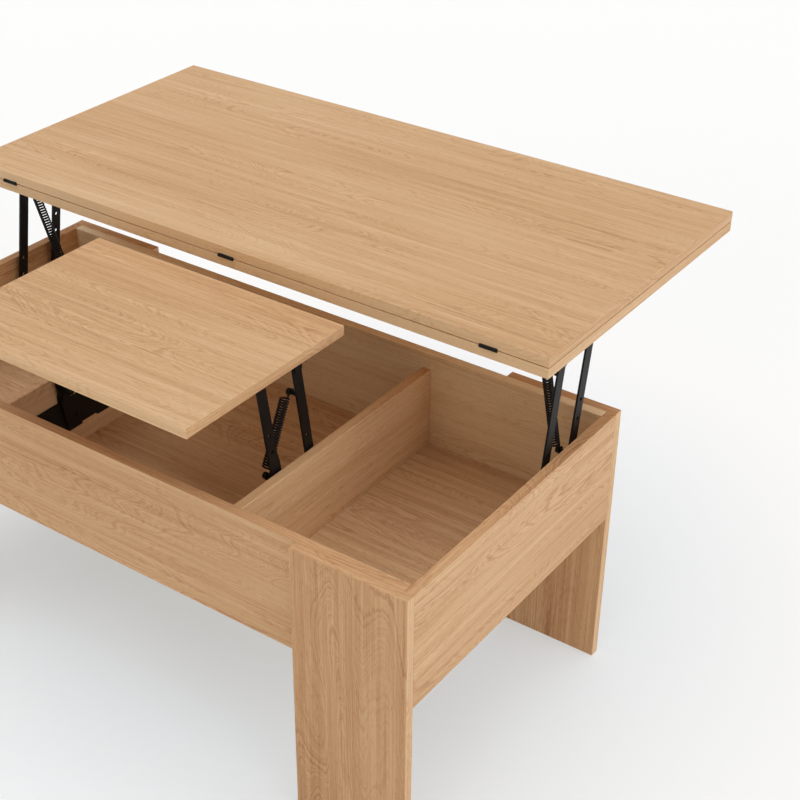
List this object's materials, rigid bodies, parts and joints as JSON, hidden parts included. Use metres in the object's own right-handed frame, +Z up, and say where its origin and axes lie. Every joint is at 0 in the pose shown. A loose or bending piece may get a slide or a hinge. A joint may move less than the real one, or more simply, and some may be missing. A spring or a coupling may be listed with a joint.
{
  "type": "convertible coffee dining table",
  "caption": "Oak-look board box on slab legs whose folding top and small centre lid rise on parallel-arm spring lifts, turning a coffee table with storage into a dining table",
  "frame": {"origin": "on the floor, under the middle of the raised table's whole length and depth", "axes": "X along the table's length to the right, Y from the front to the back, where the raised top stands, Z up"},
  "size_m": [1.1, 0.9062, 0.658],
  "materials": {
    "oak_lengthwise": "matt light oak board, grain along the table's length",
    "oak_crosswise": "matt light oak board, grain along the table's depth",
    "oak_upright": "matt light oak board, grain upright",
    "black_steel": "satin black coated steel",
    "spring_steel": "dark blackened spring wire"
  },
  "bodies": {
    "body": {"apron_front": "oak_lengthwise", "back_panel": "oak_lengthwise", "floor_panel": "oak_lengthwise", "end_panel_left": "oak_crosswise", "end_panel_right": "oak_crosswise", "divider_left": "oak_crosswise", "divider_right": "oak_crosswise", "leg_front_left": "oak_upright", "leg_front_right": "oak_upright", "leg_back_left": "oak_upright", "leg_back_right": "oak_upright", "top_lift_base_left": "black_steel", "top_lift_base_right": "black_steel", "top_base_pivots": "black_steel", "top_stop_pins": "black_steel", "top_base_screws": "black_steel", "lid_lift_base_left": "black_steel", "lid_lift_base_right": "black_steel", "lid_base_pivots": "black_steel", "lid_stop_pins": "black_steel", "lid_base_screws": "black_steel"},
    "top_lead_arms": {"top_lead_arm_left": "black_steel", "top_lead_arm_right": "black_steel", "top_lead_posts": "black_steel"},
    "top_trail_arms": {"top_trail_arm_left": "black_steel", "top_trail_arm_right": "black_steel", "top_trail_posts": "black_steel"},
    "top": {"top_lower_leaf": "oak_lengthwise", "top_bracket_left": "black_steel", "top_bracket_right": "black_steel", "top_bracket_pivots": "black_steel", "top_bracket_screws": "black_steel", "leaf_hinge_lower_plates": "black_steel", "leaf_hinge_pins": "black_steel", "leaf_hinge_lower_screws": "black_steel"},
    "leaf": {"top_upper_leaf": "oak_lengthwise", "leaf_hinge_upper_plates": "black_steel", "leaf_hinge_upper_screws": "black_steel"},
    "top_springs": {"top_spring_left": "spring_steel", "top_spring_right": "spring_steel"},
    "lid_lead_arms": {"lid_lead_arm_left": "black_steel", "lid_lead_arm_right": "black_steel", "lid_lead_posts": "black_steel"},
    "lid_trail_arms": {"lid_trail_arm_left": "black_steel", "lid_trail_arm_right": "black_steel", "lid_trail_posts": "black_steel"},
    "lid": {"centre_lid": "oak_lengthwise", "lid_bracket_left": "black_steel", "lid_bracket_right": "black_steel", "lid_bracket_pivots": "black_steel", "lid_bracket_screws": "black_steel"},
    "lid_springs": {"lid_spring_left": "spring_steel", "lid_spring_right": "spring_steel"}
  },
  "joints": [
    {"name": "top_lift", "type": "hinge", "parent": "body", "child": "top_lead_arms", "pos_m": [0, 0.01508, 0.32002], "axis": [1, 0, 0], "range_deg": [0, 73.98]},
    {"name": "top_trail_swing", "type": "hinge", "parent": "body", "child": "top_trail_arms", "pos_m": [0, -0.06292, 0.31102], "axis": [1, 0, 0], "range_deg": [0, 73.98]},
    {"name": "top_level", "type": "hinge", "parent": "top_lead_arms", "child": "top", "pos_m": [0, 0.06674, 0.613], "axis": [1, 0, 0], "range_deg": [-73.98, 0]},
    {"name": "top_spring_stretch", "type": "slide", "parent": "top_lead_arms", "child": "top_springs", "axis": [0, 0.5062, 0.8624], "range_m": [0, 0.09459], "deforming": ["top_spring_left", "top_spring_right"]},
    {"name": "leaf_fold", "type": "hinge", "parent": "top", "child": "leaf", "pos_m": [0, -0.0974, 0.6415], "axis": [1, 0, 0], "range_deg": [0, 180]},
    {"name": "lid_lift", "type": "hinge", "parent": "body", "child": "lid_lead_arms", "pos_m": [0, -0.25292, 0.40034], "axis": [-1, 0, 0], "range_deg": [0, 91.69]},
    {"name": "lid_trail_swing", "type": "hinge", "parent": "body", "child": "lid_trail_arms", "pos_m": [0, -0.17492, 0.39134], "axis": [-1, 0, 0], "range_deg": [0, 91.69]},
    {"name": "lid_level", "type": "hinge", "parent": "lid_lead_arms", "child": "lid", "pos_m": [0, -0.28264, 0.588], "axis": [-1, 0, 0], "range_deg": [-91.69, 0]},
    {"name": "lid_spring_stretch", "type": "slide", "parent": "lid_lead_arms", "child": "lid_springs", "axis": [0, -0.6329, 0.7742], "range_m": [0, 0.11277], "deforming": ["lid_spring_left", "lid_spring_right"]}
  ],
  "couplings": [
    {"joint": "top_trail_swing", "follows": "top_lift", "ratio": 1},
    {"joint": "top_level", "follows": "top_lift", "ratio": -1},
    {"joint": "top_spring_stretch", "follows": "top_lift", "m_per_rad": 0.07317},
    {"joint": "lid_lift", "follows": "top_lift", "ratio": 1.2393},
    {"joint": "lid_trail_swing", "follows": "top_lift", "ratio": 1.2393},
    {"joint": "lid_level", "follows": "top_lift", "ratio": -1.2393},
    {"joint": "lid_spring_stretch", "follows": "top_lift", "m_per_rad": 0.08725}
  ]
}
